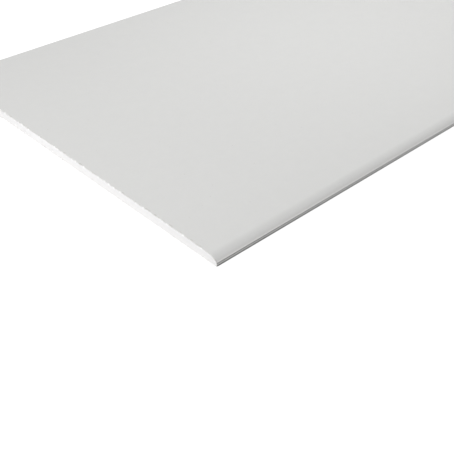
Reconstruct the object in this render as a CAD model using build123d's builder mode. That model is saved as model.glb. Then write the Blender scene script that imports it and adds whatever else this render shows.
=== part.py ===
from build123d import *
import os

# A drywall sheet lying on its back, face paper up. X runs along the board, Y across it, and
# Z is its thickness. The origin is in the middle of the board's back, where it rests.

# Driving dimensions of the board, in millimetres
board_length = 2000.0
board_width = 600.0
board_thickness = 12.5

# The tapered long edge with its rounded nose
taper_width = 60.0          # from the long edge in to where the face starts to fall
taper_depth = 1.0           # how far the face has fallen where the nose starts
taper_blend_radius = 600.0  # eases the face into the taper
nose_width = 13.0           # the rounded nose, measured in from the long edge
crease_height = 5.3         # the nose ends in a crease of the paper, this far above the back
crease_radius = 0.4
heel_radius = 0.5           # where the paper turns under the board

# The two papers
face_paper_thickness = 0.3
back_paper_thickness = 0.3
flap_width = 25.0           # face paper folded under the back, from the long edge
back_paper_margin = 9.0     # bare flap between the long edge and the back paper

half_width = board_width / 2
cut_end = Plane.YZ.offset(-board_length / 2)

# Section of the board in its face paper. One half runs from the level of the flaps round the
# long edge to the middle of the face, and the other half is its mirror image.
with BuildSketch(cut_end) as wrapped_section:
    with BuildLine():
        nose_top = (half_width - nose_width, board_thickness - taper_depth)
        taper_top = (half_width - taper_width, board_thickness)
        crease = (half_width, crease_height)
        taper_line = Line(taper_top, nose_top)
        TangentArc(nose_top, crease, tangent=taper_line % 1)
        Polyline(
            crease,
            (half_width, back_paper_thickness),
            (0, back_paper_thickness),
            (0, board_thickness),
            taper_top,
        )
    make_face()
    fillet(wrapped_section.vertices().group_by(Axis.X)[-1].sort_by(Axis.Y)[0], heel_radius)
    fillet(wrapped_section.vertices().group_by(Axis.X)[-1].sort_by(Axis.Y)[-1], crease_radius)
    fillet(wrapped_section.vertices().sort_by_distance(taper_top)[0], taper_blend_radius)
    mirror(about=Plane.YZ)

# Cast gypsum core: it fills the wrap, and between the flaps it reaches down to the back paper
with BuildPart() as gypsum_core:
    with BuildSketch(cut_end) as core_section:
        add(wrapped_section.sketch_local)
        offset(amount=-face_paper_thickness, kind=Kind.INTERSECTION)
        with Locations((0, back_paper_thickness)):
            Rectangle(
                board_width - 2 * flap_width,
                face_paper_thickness,
                align=(Align.CENTER, Align.MIN),
            )
    extrude(amount=board_length)
gypsum_core.part.label = "gypsum_core"

# Face paper: one strip over the face and round both long edges, its flaps folded under the back
with BuildPart() as face_paper:
    with BuildSketch(cut_end):
        add(wrapped_section.sketch_local)
        add(core_section.sketch_local, mode=Mode.SUBTRACT)
    extrude(amount=board_length)
face_paper.part.label = "face_paper"

# Back paper: a flat strip glued over both flaps, narrower than the board
with BuildPart() as back_paper:
    with BuildSketch(cut_end):
        Rectangle(
            board_width - 2 * back_paper_margin,
            back_paper_thickness,
            align=(Align.CENTER, Align.MIN),
        )
    extrude(amount=board_length)
back_paper.part.label = "back_paper"

os.makedirs("parts", exist_ok=True)
for piece in (gypsum_core, face_paper, back_paper):
    export_step(piece.part, f"parts/{piece.part.label}.step")
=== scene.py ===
import math

import bmesh
import bpy
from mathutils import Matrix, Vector, noise


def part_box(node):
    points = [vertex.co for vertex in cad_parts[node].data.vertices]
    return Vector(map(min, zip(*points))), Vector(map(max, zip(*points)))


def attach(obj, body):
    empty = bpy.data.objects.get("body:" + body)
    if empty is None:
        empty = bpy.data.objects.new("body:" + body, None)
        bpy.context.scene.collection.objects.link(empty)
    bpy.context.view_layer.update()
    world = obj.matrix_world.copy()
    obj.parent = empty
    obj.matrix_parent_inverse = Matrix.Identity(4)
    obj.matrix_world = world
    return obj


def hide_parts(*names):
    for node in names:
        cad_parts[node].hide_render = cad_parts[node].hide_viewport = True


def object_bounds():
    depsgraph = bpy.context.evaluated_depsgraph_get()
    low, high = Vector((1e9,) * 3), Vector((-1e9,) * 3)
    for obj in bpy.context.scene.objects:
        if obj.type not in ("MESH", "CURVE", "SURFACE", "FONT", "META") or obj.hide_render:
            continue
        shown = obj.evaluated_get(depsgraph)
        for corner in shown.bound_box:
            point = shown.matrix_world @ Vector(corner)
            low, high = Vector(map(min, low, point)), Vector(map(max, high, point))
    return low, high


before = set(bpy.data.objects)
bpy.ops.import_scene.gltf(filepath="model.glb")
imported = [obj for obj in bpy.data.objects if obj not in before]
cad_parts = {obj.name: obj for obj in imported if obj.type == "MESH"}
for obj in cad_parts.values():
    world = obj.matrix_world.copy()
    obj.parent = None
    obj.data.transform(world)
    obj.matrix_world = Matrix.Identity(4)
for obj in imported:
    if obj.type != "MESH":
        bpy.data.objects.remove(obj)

# A drywall sheet on its back, face paper up. X runs along the board, Y across it, and Z is its
# thickness. The script is in metres, and small sizes are written in millimetres times MM.
MM = 0.001

# The board's size, from the parts in model.glb
cad_low, cad_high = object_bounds()
paper_low, paper_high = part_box("face_paper")
core_low, core_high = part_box("gypsum_core")
back_low, back_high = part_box("back_paper")
half_length = cad_high.x
half_width = cad_high.y
board_thickness = cad_high.z
face_paper_thickness = paper_high.z - core_high.z
back_paper_thickness = back_high.z - back_low.z
flap_level = paper_low.z

# The long edge, as in the construction. Places across the board are measured in from the edge.
taper_width = 60 * MM
taper_depth = 1 * MM
taper_blend_radius = 600 * MM
nose_width = 13 * MM
crease_height = 5.3 * MM
crease_radius = 0.4 * MM
heel_radius = 0.5 * MM
flap_width = 25 * MM

# The nose is an arc that leaves the taper in line with it and ends at the crease
taper_slope = math.atan2(taper_depth, taper_width - nose_width)
nose_top = Vector((nose_width, board_thickness - taper_depth))
nose_foot = Vector((0, crease_height))
into_board = Vector((math.sin(taper_slope), -math.cos(taper_slope)))
nose_chord = nose_foot - nose_top
nose_radius = nose_chord.length_squared / (2 * nose_chord.dot(into_board))
nose_centre = nose_top + into_board * nose_radius
nose_turn = 2 * math.asin(nose_chord.length / (2 * nose_radius))
crease_turn = math.pi / 2 - taper_slope - nose_turn

# Relief of the folded edge: the paper is scored above and below the upright band, and the band
# lies back a little from the fold, which stands as a fine lip
upper_score_height = crease_height - 0.9 * MM
lower_score_height = 1.15 * MM
score_half_width = 0.28 * MM
upper_score_depth = 0.26 * MM
lower_score_depth = 0.16 * MM
score_unevenness = 0.5      # the scores' depth changes by up to this share along the board
score_wander = 110 * MM     # and over this length
band_set_back = 0.08 * MM
band_half_height = crease_height / 2.6
band_ease = 0.4 * MM        # under the crease, the relief of the band starts over this height
lip_inset = 0.8 * MM
lip_hollow = 0.08 * MM
lip_half_width = 0.5 * MM
band_fade = 1.2 * MM        # how deep behind the surface the board still follows the band
lip_fade = 0.8 * MM         # and the lip
edge_reach = 4 * MM         # nothing further in from the long edge is pressed

# Relief of the cut ends: the sawn gypsum, its chips, and the paper's torn ends
cut_recess = 0.2 * MM       # the sawn gypsum lies this far back from the papers' ends
saw_grain_depth = 0.06 * MM
saw_grain_size = 1.3 * MM
swell_depth = 0.12 * MM     # the saw wandered in and out by this much
swell_length = 14 * MM
swell_height = 6 * MM
pore_spacing = 2.6 * MM
pore_radius = 0.08          # of the smallest pore, as a share of the spacing
pore_radius_range = 0.3     # what the largest pore has more
pore_shuffle = 7.3          # spreads neighbouring pores over unlike random sizes
chip_depth = 1.0 * MM       # where paper and gypsum broke off the upper arris
chip_length = 4.4 * MM
chip_start = 0.1            # noise over this makes a chip
chip_rise = 0.2             # and this much more makes it a full one
chip_ragged_share = 0.5
chip_ragged_length = 0.9 * MM
chip_in_core_share = 0.9    # the gypsum broke off a little less deep than the paper
fresh_chip = 0.2 * MM       # chips deeper than this show fresh gypsum
crumble_depth = 0.1 * MM    # lost along the whole upper arris
arris_reach = 1.7 * MM      # height of the crumbled strip under the face paper
arris_falloff = 1.5
fray_depth = 0.25 * MM
fray_size = 0.9 * MM
tear_reach = 9 * MM         # how far back from the cut the paper's mesh gives way to a nick

# Places in the noise, far enough apart that no two kinds of relief are alike
long_edge_noise = 3
cut_end_noise = 37
face_fray_noise = 0
back_fray_noise = 11
swell_noise = 9
chip_noise = 5
ragged_noise = 8

# Fineness of the meshes
same_place = 0.01 * MM      # points this near to each other are one
same_section = 0.1 * MM     # points this near along the board are in one section
cut_sections = [0, 0.4, 0.9, 1.6, 2.6, 4, 6, 9, 14]  # in millimetres from each cut
section_spacing = 25 * MM   # between the last of these and those of the other cut
upright_step = 0.16 * MM    # up the band, where the scores are
level_step = 10 * MM        # across the flaps, the taper and the face
heel_segments = 5
crease_segments = 3
blend_segments = 4
nose_segments = 40
fray_zone = 7 * MM          # from the cut, where long edges across the paper are divided
long_across = 1.5 * MM
fray_cuts = 19
back_strips = 60            # across the back paper
core_step = 0.42 * MM       # between the points across a cut end of the core
core_rows = 27              # of faces, from its back to its face
cut_edge_slope = 0.25       # a face of the paper that turns this far to the cut is its cut edge
upward_slope = 0.5
paper_sharp_angle = math.radians(35)  # edges that turn more than this stay sharp
core_sharp_angle = math.radians(60)

# Light
sky_light = 0.3             # from all round, while the sky itself is seen white, at 1
floor_glow = 0.8            # seen directly, the open floor is this much brighter than it is lit
floor_half_size = 30
floor_drop = 0.05 * MM      # keeps the floor clear of the board's back


def clamped(share):
    return min(1, max(0, share))


def bell(offset, half_width_of_bell):
    """1 in the middle, and falling smoothly to nothing on both sides."""
    return math.exp(-(offset / half_width_of_bell) ** 2)


def face_height(inset, across):
    """Height of the face, or of a surface that lies the inset below it, this far in from the edge."""
    taper_reach = taper_width + inset * math.tan(taper_slope / 2)
    nose_reach = nose_centre.x - (nose_radius - inset) * math.sin(taper_slope)
    if across >= taper_reach:
        return board_thickness - inset
    if across >= nose_reach:
        return board_thickness - inset - (taper_reach - across) * math.tan(taper_slope)
    rise = (nose_radius - inset) ** 2 - (across - nose_centre.x) ** 2
    return nose_centre.y + math.sqrt(max(rise, 0))


def press_edge(vert):
    """Presses the scores and the lip into the long edge. What lies deeper in the board moves less."""
    x, y, z = vert.co
    across = half_width - abs(y)
    if across > edge_reach:
        return
    wander = noise.noise((x / score_wander, math.copysign(long_edge_noise, y), 0))
    strength = 1 + score_unevenness * wander
    pressed = upper_score_depth * strength * bell(z - upper_score_height, score_half_width)
    pressed += lower_score_depth * strength * bell(z - lower_score_height, score_half_width)
    pressed += band_set_back * bell(z - crease_height / 2, band_half_height) ** 0.5
    under_crease = clamped((crease_height - z) / band_ease)
    vert.co.y -= math.copysign(pressed * under_crease * bell(across, band_fade), y)
    if z > crease_height:
        below_face = max(0, face_height(0, across) - z)
        on_lip = bell(across - lip_inset, lip_half_width) * bell(below_face, lip_fade)
        vert.co.z -= lip_hollow * on_lip


# Materials


def linear(code):
    """sRGB hex to a linear colour."""
    channels = [int(code[i:i + 2], 16) / 255 for i in (1, 3, 5)]
    return [c / 12.92 if c <= 0.04045 else ((c + 0.055) / 1.055) ** 2.4 for c in channels] + [1]


def add(tree, kind, inputs=None, **settings):
    """Adds one node, with its settings, its values and the links into it."""
    node = tree.nodes.new(kind)
    for name, value in settings.items():
        setattr(node, name, value)
    for socket, value in (inputs or {}).items():
        if isinstance(value, bpy.types.NodeSocket):
            tree.links.new(value, node.inputs[socket])
        else:
            node.inputs[socket].default_value = value
    return node


def new_material(name, roughness):
    """A material with its shader, and the place on the piece that its patterns follow."""
    material = bpy.data.materials.new(name)
    material.use_nodes = True
    tree = material.node_tree
    shader = tree.nodes["Principled BSDF"]
    shader.inputs["Roughness"].default_value = roughness
    place = add(tree, "ShaderNodeTexCoord").outputs["Object"]
    return material, tree, shader, place


def clouded(tree, place, size, dull, pale, detail):
    """A colour that changes in clouds of this size between two tones."""
    cloud = add(tree, "ShaderNodeTexNoise", {"Vector": place, "Scale": 1 / size, "Detail": detail})
    return add(tree, "ShaderNodeMix", {"Factor": cloud.outputs["Fac"], "A": linear(dull),
               "B": linear(pale)}, data_type="RGBA").outputs["Result"]


def drawn_out(tree, place, length, width, detail, distortion=0):
    """Noise in strands of this length along the board, and of this width."""
    combed = add(tree, "ShaderNodeMapping", {"Vector": place,
                 "Scale": (1 / length, 1 / width, 1 / width)})
    return add(tree, "ShaderNodeTexNoise", {"Vector": combed.outputs[0], "Scale": 1,
               "Detail": detail, "Distortion": distortion}).outputs["Fac"]


def shaded(tree, colour, pattern, span, shades):
    """A colour times the shade that the pattern gives, from the first to the second over its span."""
    shade = add(tree, "ShaderNodeMapRange", {"Value": pattern, "From Min": span[0],
                "From Max": span[1], "To Min": shades[0], "To Max": shades[1]})
    return add(tree, "ShaderNodeVectorMath", {0: colour, "Scale": shade.outputs[0]},
               operation="SCALE").outputs[0]


def flecks(tree, place, spacing, middle, rim, strength):
    """Round flecks scattered through the pulp. Gives how much of a fleck there is at each place,
    and a number from 0 to 1 that is the fleck's own."""
    cells = add(tree, "ShaderNodeTexVoronoi", {"Vector": place, "Scale": 1 / spacing})
    share = add(tree, "ShaderNodeMapRange", {"Value": cells.outputs["Distance"],
                "From Min": rim / spacing, "From Max": middle / spacing, "To Max": strength})
    own = add(tree, "ShaderNodeSeparateColor", {"Color": cells.outputs["Color"]})
    return share.outputs[0], own.outputs["Red"]


def face_pulp(tree, place, fibre):
    """The bare pulp of the face: clouds, streaks and fibres, and here and there a dark fleck."""
    tone = clouded(tree, place, 16 * MM, "#D7D7D5", "#DDDDDB", detail=4)
    streak = drawn_out(tree, place, 90 * MM, 3 * MM, detail=2)
    streaked = add(tree, "ShaderNodeMix", {"Factor": streak, "A": tone, "B": linear("#D9D9D8")},
                   data_type="RGBA")
    fibrous = shaded(tree, streaked.outputs["Result"], fibre, (0.35, 0.65), (0.985, 1.012))

    # Specks of old print, about 0.6 mm, one in a square of 60 mm
    fleck, own = flecks(tree, place, 9 * MM, 0.18 * MM, 0.45 * MM, strength=1)
    rare = add(tree, "ShaderNodeMath", {0: own, 1: 0.7}, operation="GREATER_THAN")
    share = add(tree, "ShaderNodeMath", {0: fleck, 1: rare.outputs[0]}, operation="MULTIPLY")
    return add(tree, "ShaderNodeMix", {"Factor": share.outputs[0], "A": fibrous,
               "B": linear("#A5A19A")}, data_type="RGBA").outputs["Result"]


def rubbed_and_highlit_edge(tree, colour, aside, height):
    """The upright band and fold are lighter: partly rubbed by handling, partly painted highlight."""
    on_fold = add(tree, "ShaderNodeMapRange", {"Value": aside,
                  "From Min": half_width - 1.4 * MM, "From Max": half_width - 0.6 * MM})
    # Painted highlight along the fold and painted light on the band, with some real rubbing
    rubbing_and_highlight = add(tree, "ShaderNodeMapRange", {"Value": height,
                  "From Min": crease_height - 0.5 * MM, "From Max": crease_height - 0.2 * MM,
                  "To Min": 0.66, "To Max": 0.6})
    share = add(tree, "ShaderNodeMath", {0: on_fold.outputs[0], 1: rubbing_and_highlight.outputs[0]},
                operation="MULTIPLY")
    return add(tree, "ShaderNodeMix", {"Factor": share.outputs[0], "A": colour,
               "B": linear("#F1F1EF")}, data_type="RGBA").outputs["Result"]


def soiled_and_shaded_edge(tree, colour, place, endwise, aside, height):
    """Dirt and painted shade in the upper score and, heaviest, from the lower one round the heel,
    where the painted shade stands for the gap over the floor. It is a little thinner in places
    some 7 mm long, and darker towards the cuts."""
    on_band = add(tree, "ShaderNodeMapRange", {"Value": aside,
                  "From Min": half_width - 1.1 * MM, "From Max": half_width - 0.5 * MM})
    # Darkening in the upper score and round the heel: partly dirt, partly painted shade of the score and
    # of the gap under the heel
    off_score = add(tree, "ShaderNodeMath", {0: height, 1: upper_score_height},
                    operation="SUBTRACT")
    off_score = add(tree, "ShaderNodeMath", {0: off_score.outputs[0]}, operation="ABSOLUTE")
    in_score = add(tree, "ShaderNodeMapRange", {"Value": off_score.outputs[0],
                   "From Min": 0.75 * MM, "From Max": 0.25 * MM, "To Max": 0.78})
    at_heel = add(tree, "ShaderNodeMapRange", {"Value": height, "From Min": 2.1 * MM,
                  "From Max": 1.2 * MM})
    dirt_and_shade = add(tree, "ShaderNodeMath", {0: in_score.outputs[0], 1: at_heel.outputs[0]},
               operation="MAXIMUM")
    scuffs = add(tree, "ShaderNodeTexNoise", {"Vector": place, "Scale": 1 / (7 * MM), "Detail": 3})
    worn = add(tree, "ShaderNodeMapRange", {"Value": scuffs.outputs["Fac"], "From Min": 0.3,
               "From Max": 0.6, "To Min": 0.85})
    # Darker towards the cuts
    nearer_cut = add(tree, "ShaderNodeMapRange", {"Value": endwise, "From Min": half_length - 350 * MM,
               "From Max": half_length - 30 * MM, "To Min": 0.6})
    for share in (on_band, worn, nearer_cut):
        dirt_and_shade = add(tree, "ShaderNodeMath", {0: dirt_and_shade.outputs[0], 1: share.outputs[0]},
                   operation="MULTIPLY")
    return add(tree, "ShaderNodeMix", {"Factor": dirt_and_shade.outputs[0], "A": colour,
               "B": linear("#3A3836")}, data_type="RGBA").outputs["Result"]


def darker_by_cuts(tree, colour, place, endwise):
    """The last two millimetres before a cut are darker in places, some 5 mm at a time."""
    at_cut = add(tree, "ShaderNodeMapRange", {"Value": endwise,
                 "From Min": half_length - 2.6 * MM, "From Max": half_length - 1.4 * MM})
    dark_patches = add(tree, "ShaderNodeTexNoise", {"Vector": place, "Scale": 1 / (5 * MM), "Detail": 2})
    darkening = add(tree, "ShaderNodeMapRange", {"Value": dark_patches.outputs["Fac"], "From Min": 0.55,
                 "From Max": 0.6, "To Max": 0.6})
    share = add(tree, "ShaderNodeMath", {0: at_cut.outputs[0], 1: darkening.outputs[0]},
                operation="MULTIPLY")
    return add(tree, "ShaderNodeMix", {"Factor": share.outputs[0], "A": colour,
               "B": linear("#BDBBB6")}, data_type="RGBA").outputs["Result"]


def face_liner_material():
    """Face liner: recycled pulp under a bleached top ply, pressed smooth between rolls. It is matt
    and light grey, clouded where the fibres lie thicker, faintly streaked along the board, with a
    few dark flecks. In the scores of the long edges and round the heel it is darkened, partly dirt
    and partly painted shade, and the band and fold are lighter, partly rubbed and partly painted
    highlight."""
    material, tree, shader, place = new_material("face_liner_paper_calendered", 0.85)
    apart = add(tree, "ShaderNodeSeparateXYZ", {"Vector": place}).outputs
    endwise = add(tree, "ShaderNodeMath", {0: apart["X"]}, operation="ABSOLUTE").outputs[0]
    aside = add(tree, "ShaderNodeMath", {0: apart["Y"]}, operation="ABSOLUTE").outputs[0]

    # Real fibres are a tenth as wide. They are drawn as coarse as they need to be to show.
    fibre = drawn_out(tree, place, 5 * MM, 0.3 * MM, detail=2, distortion=0.6)
    colour = face_pulp(tree, place, fibre)
    colour = rubbed_and_highlit_edge(tree, colour, aside, apart["Z"])
    colour = soiled_and_shaded_edge(tree, colour, place, endwise, aside, apart["Z"])
    colour = darker_by_cuts(tree, colour, place, endwise)
    tree.links.new(colour, shader.inputs["Base Color"])

    # The tooth of the paper, also coarser than the real one
    grit = add(tree, "ShaderNodeTexNoise", {"Vector": place, "Scale": 1 / (0.6 * MM), "Detail": 3})
    tooth = add(tree, "ShaderNodeMath", {0: grit.outputs["Fac"], 1: fibre}, operation="ADD")
    bump = add(tree, "ShaderNodeBump", {"Height": tooth.outputs[0], "Strength": 0.35,
               "Distance": 0.04 * MM})
    tree.links.new(bump.outputs[0], shader.inputs["Normal"])
    return material


def torn_liner_material():
    """The cut edge of a liner, where its plies show: fibrous, dusted almost white with gypsum."""
    material, tree, shader, place = new_material("liner_paper_cut_plies", 0.95)
    plies = clouded(tree, place, 1.5 * MM, "#E2E0DA", "#F7F6F4", detail=4)
    tree.links.new(plies, shader.inputs["Base Color"])
    return material


def back_liner_material():
    """Back liner: unbleached recycled paper, dull grey-brown, with light and dark fibre flecks and
    a rougher tooth than the face."""
    material, tree, shader, place = new_material("back_liner_paper_recycled", 0.92)
    tone = clouded(tree, place, 25 * MM, "#AEA89C", "#BFBAAF", detail=5)

    # Fibres of several papers, lighter and darker than the ground, and coarser than real ones
    fibre = drawn_out(tree, place, 3 * MM, 0.4 * MM, detail=3, distortion=1.2)
    fibrous = shaded(tree, tone, fibre, (0.3, 0.7), (0.93, 1.06))

    # Flecks of about 0.6 mm, one in a square of 15 mm, half of them dark and half light
    fleck, own = flecks(tree, place, 5 * MM, 0.15 * MM, 0.45 * MM, strength=0.8)
    dark = add(tree, "ShaderNodeMath", {0: own, 1: 0.5}, operation="GREATER_THAN")
    fleck_tone = add(tree, "ShaderNodeMix", {"Factor": dark.outputs[0], "A": linear("#D8D4CB"),
                     "B": linear("#7E7B78")}, data_type="RGBA")
    flecked = add(tree, "ShaderNodeMix", {"Factor": fleck, "A": fibrous,
                  "B": fleck_tone.outputs["Result"]}, data_type="RGBA")
    tree.links.new(flecked.outputs["Result"], shader.inputs["Base Color"])

    # The tooth, coarser than the real one
    grit = add(tree, "ShaderNodeTexNoise", {"Vector": place, "Scale": 1 / (0.9 * MM), "Detail": 3})
    bump = add(tree, "ShaderNodeBump", {"Height": grit.outputs["Fac"], "Strength": 0.5,
               "Distance": 0.08 * MM})
    tree.links.new(bump.outputs[0], shader.inputs["Normal"])
    return material


def fine_pores(tree, place):
    """Round pits up to 1.1 mm across, no two alike in size, outline or depth. Gives 1 at the bottom
    of a deep one."""
    spacing = 1.6 * MM
    wobble = add(tree, "ShaderNodeTexNoise", {"Vector": place, "Scale": 1 / (1.1 * MM)})
    bent = add(tree, "ShaderNodeVectorMath", {0: wobble.outputs["Color"], 1: (0.5 * MM,) * 3,
               2: place}, operation="MULTIPLY_ADD")
    cells = add(tree, "ShaderNodeTexVoronoi", {"Vector": bent.outputs[0], "Scale": 1 / spacing})
    own = add(tree, "ShaderNodeSeparateColor", {"Color": cells.outputs["Color"]})
    radius = add(tree, "ShaderNodeMapRange", {"Value": own.outputs["Red"], "From Min": 0.3,
                 "To Max": 0.576 * MM / spacing})
    inside = add(tree, "ShaderNodeMath", {0: radius.outputs[0], 1: cells.outputs["Distance"]},
                 operation="SUBTRACT")
    pit = add(tree, "ShaderNodeMapRange", {"Value": inside.outputs[0],
              "From Min": -0.048 * MM / spacing, "From Max": 0.096 * MM / spacing})
    depth = add(tree, "ShaderNodeMapRange", {"Value": own.outputs["Green"], "To Min": 0.5})
    return add(tree, "ShaderNodeMath", {0: pit.outputs[0], 1: depth.outputs[0]},
               operation="MULTIPLY").outputs[0]


def gypsum_material(name, dull, pale):
    """Foamed gypsum, cast wet and cut when hard: chalk white, dusty, dull and full of small round
    pores. The larger pores are in the mesh, and these are the fine ones between them, darkened
    inside with painted shade."""
    material, tree, shader, place = new_material(name, 0.95)

    # The pattern is mirrored about the middle of the board, so that its two ends are alike
    apart = add(tree, "ShaderNodeSeparateXYZ", {"Vector": place}).outputs
    endwise = add(tree, "ShaderNodeMath", {0: apart["X"]}, operation="ABSOLUTE")
    endwise = add(tree, "ShaderNodeMath", {0: endwise.outputs[0], 1: -1}, operation="MULTIPLY")
    place = add(tree, "ShaderNodeCombineXYZ", {"X": endwise.outputs[0], "Y": apart["Y"],
                "Z": apart["Z"]}).outputs[0]

    # Damp and dry patches, and the grain of the crystals, coarser than it is
    tone = clouded(tree, place, 22 * MM, dull, pale, detail=3)
    grain = add(tree, "ShaderNodeTexNoise", {"Vector": place, "Scale": 1 / (0.7 * MM), "Detail": 4})
    grained = shaded(tree, tone, grain.outputs["Fac"], (0.3, 0.7), (0.97, 1.02))
    # The fine pores are darkened inside: painted shade of their hollows
    pit = fine_pores(tree, place)
    pit_painted_shade = add(tree, "ShaderNodeMix", {"Factor": pit, "A": grained, "B": linear("#CFCECA")},
                 data_type="RGBA")
    tree.links.new(pit_painted_shade.outputs["Result"], shader.inputs["Base Color"])

    relief = add(tree, "ShaderNodeMath", {0: grain.outputs["Fac"], 1: pit}, operation="SUBTRACT")
    bump = add(tree, "ShaderNodeBump", {"Height": relief.outputs[0], "Strength": 0.6,
               "Distance": 0.15 * MM})
    tree.links.new(bump.outputs[0], shader.inputs["Normal"])
    return material


# Cut ends


def cut_end_seed(x):
    """Place in the noise for the cut end on this side, so that the two ends differ."""
    return math.copysign(cut_end_noise, x)


def chipping(x, y):
    """Depth of the chips along a cut's upper arris, where paper and gypsum broke away together."""
    end = cut_end_seed(x)
    bite = clamped((noise.noise((y / chip_length, end, chip_noise)) - chip_start) / chip_rise)
    ragged = 1 + chip_ragged_share * noise.noise((y / chip_ragged_length, end, ragged_noise))
    eased = bite * bite * (3 - 2 * bite)
    return chip_depth * ragged * eased


def chip_in_core(x, y, z):
    """The gypsum crumbled a little along the whole upper arris, and more where it is chipped."""
    below_face = face_height(face_paper_thickness, half_width - abs(y)) - z
    near_arris = clamped(1 - below_face / arris_reach)
    return (crumble_depth + chip_in_core_share * chipping(x, y)) * near_arris ** arris_falloff


def pore_depth(x, y, z):
    """The cut slices round bubbles, and each shows as a hollow with a sharp rim."""
    distances, centres = noise.voronoi((y / pore_spacing, z / pore_spacing, cut_end_seed(x)))
    radius = pore_radius + pore_radius_range * noise.cell(centres[0] * pore_shuffle) ** 2
    inside = max(0, 1 - (distances[0] / radius) ** 2)
    return radius * pore_spacing * math.sqrt(inside)


def cut_depth(x, y, z):
    """Depth of the sawn surface at one place: a torn grain, round pores and a chipped upper arris."""
    end = cut_end_seed(x)
    grain = saw_grain_depth * noise.noise((y / saw_grain_size, z / saw_grain_size, end))
    swell = swell_depth * noise.noise((y / swell_length, z / swell_height, end + swell_noise))
    return cut_recess + grain + swell + pore_depth(x, y, z) + chip_in_core(x, y, z)


# Meshes


def finished(name, bm, *materials):
    """Makes the object of a finished bmesh, at the origin."""
    mesh = bpy.data.meshes.new(name)
    bm.to_mesh(mesh)
    bm.free()
    for material in materials:
        mesh.materials.append(material)
    piece = bpy.data.objects.new(name, mesh)
    bpy.context.scene.collection.objects.link(piece)
    return piece


def crosswise(edge):
    """True for an edge that lies in a section across the board."""
    return abs(edge.verts[0].co.x - edge.verts[1].co.x) < same_section


def section_places():
    """Places along the board: close together near the two cuts, wide apart between them."""
    left = [-half_length + d * MM for d in cut_sections]
    spans = round(-2 * left[-1] / section_spacing)
    step = -2 * left[-1] / spans
    between = [left[-1] + step * i for i in range(1, spans)]
    return left + between + [-x for x in reversed(left)]


def draw_along(bm, places):
    """Draws an outline out along the board, from the first of these places through all others."""
    rim = bm.edges[:]
    for here, there in zip(places, places[1:]):
        made = bmesh.ops.extrude_edge_only(bm, edges=rim)["geom"]
        rim = [e for e in made if isinstance(e, bmesh.types.BMEdge)]
        moved = [v for v in made if isinstance(v, bmesh.types.BMVert)]
        bmesh.ops.translate(bm, verts=moved, vec=(there - here, 0, 0))


def tear_ends(bm, fray_noise):
    """Refines a sheet of paper near its two cuts, frays its ends there and pulls back its chips."""
    wide = [e for e in bm.edges if crosswise(e) and e.calc_length() > long_across
            and half_length - abs(e.verts[0].co.x) < fray_zone]
    bmesh.ops.subdivide_edges(bm, edges=wide, cuts=fray_cuts)
    bmesh.ops.recalc_face_normals(bm, faces=bm.faces[:])
    for vert in bm.verts:
        x, y, z = vert.co
        from_cut = half_length - abs(x)
        if from_cut > tear_reach:
            continue
        frayed = noise.noise((y / fray_size, z / fray_size, cut_end_seed(x) + fray_noise))
        chip = chipping(x, y) if z > crease_height else 0
        torn = abs(frayed) * fray_depth + chip
        vert.co.x -= math.copysign(torn * (1 - from_cut / tear_reach), x)


def thicken_paper(bm, thickness):
    """Gives a sheet of paper its thickness, and its cut edges the second material."""
    bmesh.ops.solidify(bm, geom=bm.faces[:], thickness=thickness)
    bm.normal_update()
    for face in bm.faces:
        face.smooth = True
        if abs(face.normal.x) > cut_edge_slope:
            face.material_index = 1
    for edge in bm.edges:
        edge.smooth = len(edge.link_faces) == 2 and edge.calc_face_angle() < paper_sharp_angle


def rounded(bm, corner, radius, turn, segments):
    """Rounds a corner of an outline, where it turns by this angle."""
    bmesh.ops.bevel(bm, geom=[corner], affect="VERTICES", offset=radius * math.tan(turn / 2),
                    offset_type="OFFSET", segments=segments, profile=0.5, material=-1)


def wrap_outline(bm):
    """Outer side of the face paper in its section at one end: one half is drawn, and mirrored."""
    def point(across, height):
        return bm.verts.new((-half_length, half_width - across, height))

    flap_end = point(flap_width, flap_level)
    heel = point(0, flap_level)
    crease = point(*nose_foot)
    arc_start = point(*nose_top)
    taper_top = point(taper_width, board_thickness)
    middle = point(half_width, board_thickness)
    for pair in ((flap_end, heel), (heel, crease), (arc_start, taper_top), (taper_top, middle)):
        bm.edges.new(pair)
    rounded(bm, heel, heel_radius, math.pi / 2, heel_segments)
    rounded(bm, taper_top, taper_blend_radius, taper_slope, blend_segments)
    bmesh.ops.spin(bm, geom=[arc_start], axis=(-1, 0, 0), angle=nose_turn, steps=nose_segments,
                   use_merge=False, cent=(-half_length, half_width - nose_centre.x, nose_centre.y))
    bmesh.ops.remove_doubles(bm, verts=bm.verts[:], dist=same_place)

    # The merge may have kept another point at the crease, so it is looked up by its place
    crease_place = Vector((-half_length, half_width, crease_height))
    crease = min(bm.verts, key=lambda vert: (vert.co - crease_place).length)
    rounded(bm, crease, crease_radius, crease_turn, crease_segments)

    for edge in bm.edges[:]:
        upright = abs(edge.verts[0].co.y - edge.verts[1].co.y) < same_place
        pieces = math.ceil(edge.calc_length() / (upright_step if upright else level_step))
        if pieces > 1:
            bmesh.ops.subdivide_edges(bm, edges=[edge], cuts=pieces - 1)
    bmesh.ops.mirror(bm, geom=bm.verts[:] + bm.edges[:], axis="Y", merge_dist=same_place)
    bmesh.ops.remove_doubles(bm, verts=bm.verts[:], dist=same_place)


def face_paper_skin(face_liner, torn_liner):
    """The wrapped paper: the outline of its outer side, drawn along the board and thickened."""
    bm = bmesh.new()
    wrap_outline(bm)
    draw_along(bm, section_places())
    tear_ends(bm, face_fray_noise)
    thicken_paper(bm, face_paper_thickness)
    for vert in bm.verts:
        press_edge(vert)
    piece = finished("face_paper_skin", bm, face_liner, torn_liner)
    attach(piece, "root")
    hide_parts("face_paper")


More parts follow.
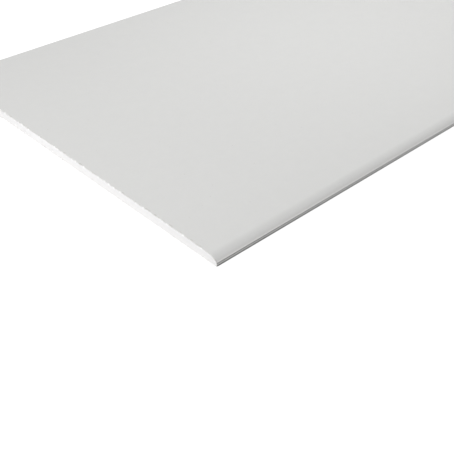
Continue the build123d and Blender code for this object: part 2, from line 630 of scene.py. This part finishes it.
def back_paper_sheet(back_liner, torn_liner):
    """The back paper: a flat strip, drawn along the board from a line across its back."""
    bm = bmesh.new()
    ends = [bm.verts.new((-half_length, y, back_low.z)) for y in (back_low.y, back_high.y)]
    line = bm.edges.new(ends)
    bmesh.ops.subdivide_edges(bm, edges=[line], cuts=back_strips - 1)
    draw_along(bm, section_places())
    tear_ends(bm, back_fray_noise)
    for face in bm.faces:
        if face.normal.z > 0:
            face.normal_flip()
    thicken_paper(bm, back_paper_thickness)

    # Its upper side is glued down, and shows only as bare plies at the cuts
    for face in bm.faces:
        if face.normal.z > upward_slope:
            face.material_index = 1
    piece = finished("back_paper_sheet", bm, back_liner, torn_liner)
    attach(piece, "root")
    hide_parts("back_paper")


def core_section(bm):
    """The core's section at one end, as a fine grid that is fitted between its back and its face."""
    inset = face_paper_thickness
    reach = half_width - inset
    columns = round(2 * reach / core_step)
    bmesh.ops.create_grid(bm, x_segments=columns, y_segments=core_rows, size=0.5)
    for vert in bm.verts:
        y = vert.co.x * 2 * reach
        up = vert.co.y + 0.5
        across = max(half_width - abs(y), inset)
        top = face_height(inset, across)
        low = core_low.z if across > flap_width else flap_level + inset
        low += max(0, heel_radius - across)
        vert.co = (-half_length, y, low + up * (top - low))


def cast_core(sawn_gypsum, broken_gypsum):
    """The gypsum under the paper: a section at each end, for its pores and chips, and the sides
    bridged between them."""
    bm = bmesh.new()
    core_section(bm)
    copied = bmesh.ops.duplicate(bm, geom=bm.verts[:] + bm.edges[:] + bm.faces[:])["geom"]
    moved = [v for v in copied if isinstance(v, bmesh.types.BMVert)]
    bmesh.ops.translate(bm, verts=moved, vec=(2 * half_length, 0, 0))
    bmesh.ops.bridge_loops(bm, edges=[e for e in bm.edges if e.is_boundary])
    bmesh.ops.recalc_face_normals(bm, faces=bm.faces[:])
    for vert in bm.verts:
        vert.co.x -= math.copysign(cut_depth(*vert.co), vert.co.x)
        press_edge(vert)
    for face in bm.faces:
        face.smooth = True
        x, y, z = face.calc_center_median()
        if half_length - abs(x) < tear_reach and chip_in_core(x, y, z) > fresh_chip:
            face.material_index = 1
    for edge in bm.edges:
        edge.smooth = edge.calc_face_angle() < core_sharp_angle
    piece = finished("cast_core", bm, sawn_gypsum, broken_gypsum)
    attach(piece, "root")
    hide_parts("gypsum_core")


# Studio


def seen_directly(tree):
    """1 for a ray from the eye, or one that a gloss or a glass sends on, and 0 for the light itself."""
    rays = add(tree, "ShaderNodeLightPath").outputs
    either = add(tree, "ShaderNodeMath", {0: rays["Is Camera Ray"], 1: rays["Is Glossy Ray"]},
                 operation="MAXIMUM")
    return add(tree, "ShaderNodeMath", {0: either.outputs[0], 1: rays["Is Transmission Ray"]},
               operation="MAXIMUM").outputs[0]


def make_world():
    """Soft studio light from all round, and a white backdrop behind it."""
    world = bpy.data.worlds.new("studio")
    world.use_nodes = True
    bpy.context.scene.world = world
    tree = world.node_tree
    tree.nodes.clear()
    strength = add(tree, "ShaderNodeMix", {"Factor": seen_directly(tree), "A": sky_light, "B": 1.0},
                   data_type="FLOAT")
    sky = add(tree, "ShaderNodeBackground", {"Color": (1, 1, 1, 1), "Strength": strength.outputs[0]})
    add(tree, "ShaderNodeOutputWorld", {"Surface": sky.outputs[0]})


def open_floor(tree):
    """Glow of the floor, seen directly: none in the gap under each long edge, which paints a
    dark contact shadow there, and full past it.
    """
    place = add(tree, "ShaderNodeTexCoord").outputs["Object"]
    apart = add(tree, "ShaderNodeSeparateXYZ", {"Vector": place})
    aside = add(tree, "ShaderNodeMath", {0: apart.outputs["Y"]}, operation="ABSOLUTE")
    endwise = add(tree, "ShaderNodeMath", {0: apart.outputs["X"]}, operation="ABSOLUTE")
    # The glow is taken away in the gap under each long edge, painting a dark contact shadow there
    beside_board = (aside, half_width - 0.4 * MM, half_width - 0.15 * MM)
    under_back_paper = (aside, back_high.y, back_high.y - 1 * MM)
    past_cut = (endwise, half_length - 3 * MM, half_length - 2 * MM)
    glow = 0
    for distance, dark, bright in (beside_board, under_back_paper, past_cut):
        share = add(tree, "ShaderNodeMapRange", {"Value": distance.outputs[0], "From Min": dark,
                    "From Max": bright, "To Max": floor_glow})
        glow = add(tree, "ShaderNodeMath", {0: glow, 1: share.outputs[0]},
                   operation="MAXIMUM").outputs[0]
    return glow


def make_floor():
    """A pale floor that looks white where it is lit and keeps a faint shadow of the board. In the gap
    under each long edge, which is as deep as the margin beside the back paper, its glow is taken
    away, so it is dark there: partly its real shade, partly a shadow painted by the mask."""
    material = bpy.data.materials.new("studio_floor")
    material.use_nodes = True
    tree = material.node_tree
    tree.nodes.clear()
    pale = add(tree, "ShaderNodeBsdfDiffuse", {"Color": linear("#C4C4C4")})
    lit = add(tree, "ShaderNodeBsdfDiffuse", {"Color": linear("#A0A0A0")})
    glow = add(tree, "ShaderNodeEmission", {"Color": (1, 1, 1, 1), "Strength": open_floor(tree)})
    white = add(tree, "ShaderNodeAddShader", {0: lit.outputs[0], 1: glow.outputs[0]})
    both = add(tree, "ShaderNodeMixShader", {0: seen_directly(tree), 1: pale.outputs[0],
               2: white.outputs[0]})
    add(tree, "ShaderNodeOutputMaterial", {"Surface": both.outputs[0]})

    bm = bmesh.new()
    bmesh.ops.create_grid(bm, x_segments=1, y_segments=1, size=floor_half_size)
    bmesh.ops.translate(bm, verts=bm.verts[:], vec=(0, 0, -floor_drop))
    floor = finished("floor", bm, material)


def make_lamp(kind, name, place, power, **settings):
    """A lamp at a place, in metres, that faces the middle of its own half of the board."""
    data = bpy.data.lights.new(name, kind)
    data.energy = power
    for setting, value in settings.items():
        setattr(data, setting, value)
    lamp = bpy.data.objects.new(name, data)
    lamp.location = place
    target = Vector((math.copysign(0.6, place[0]), 0, 0))
    lamp.rotation_euler = (target - Vector(place)).to_track_quat("-Z", "Y").to_euler()
    lamp.visible_camera = False
    bpy.context.scene.collection.objects.link(lamp)


def make_lamps():
    """A softbox straight above for the level of light, and at each end of the board small ones
    that give the photograph's slow changes along the cut end, round its near corner and on the
    face."""
    make_lamp("SUN", "overhead_softbox", (-0.6, 0, 4), 1.13, angle=math.radians(35))
    for half, side in (("near", -1), ("far", 1)):
        make_lamp("AREA", f"{half}_end_softbox", (side * 2.4, 0.9, 0.3), 7.8, shape="DISK", size=0.6)
        make_lamp("AREA", f"{half}_end_lamp", (side * 1.8, -0.1, 0.3), 3.1, shape="DISK", size=0.5)
        make_lamp("AREA", f"{half}_corner_lamp", (side * 1.25, -0.75, 0.3), 0.25, shape="DISK", size=0.3)
        make_lamp("AREA", f"{half}_face_lamp", (side * 0.45, 0.03, 0.7), 1.31, shape="DISK", size=0.5)


def make_camera():
    """The photograph's view, fitted to the board's edges."""
    near_corner = Vector((-half_length, -half_width, 0))
    eye = near_corner + Vector((-428.9, -475.1, 535.2)) * MM
    heading = math.radians(46.943)
    dip = math.radians(36.961)
    data = bpy.data.cameras.new("camera")
    data.sensor_width = 36
    data.lens = 61.95
    data.clip_start = 0.01
    data.clip_end = 100
    camera = bpy.data.objects.new("camera", data)
    camera.location = eye
    camera.rotation_euler = (math.pi / 2 - dip, 0, heading - math.pi / 2)
    bpy.context.scene.collection.objects.link(camera)
    bpy.context.scene.camera = camera


make_camera()
make_world()
make_floor()
make_lamps()
bpy.context.scene.view_settings.view_transform = "Standard"

torn_liner = torn_liner_material()
face_paper_skin(face_liner_material(), torn_liner)
back_paper_sheet(back_liner_material(), torn_liner)
cast_core(gypsum_material("gypsum_foamed_sawn", "#EFEEEE", "#F6F5F5"),
          gypsum_material("gypsum_foamed_broken", "#FAFAFA", "#FFFFFF"))
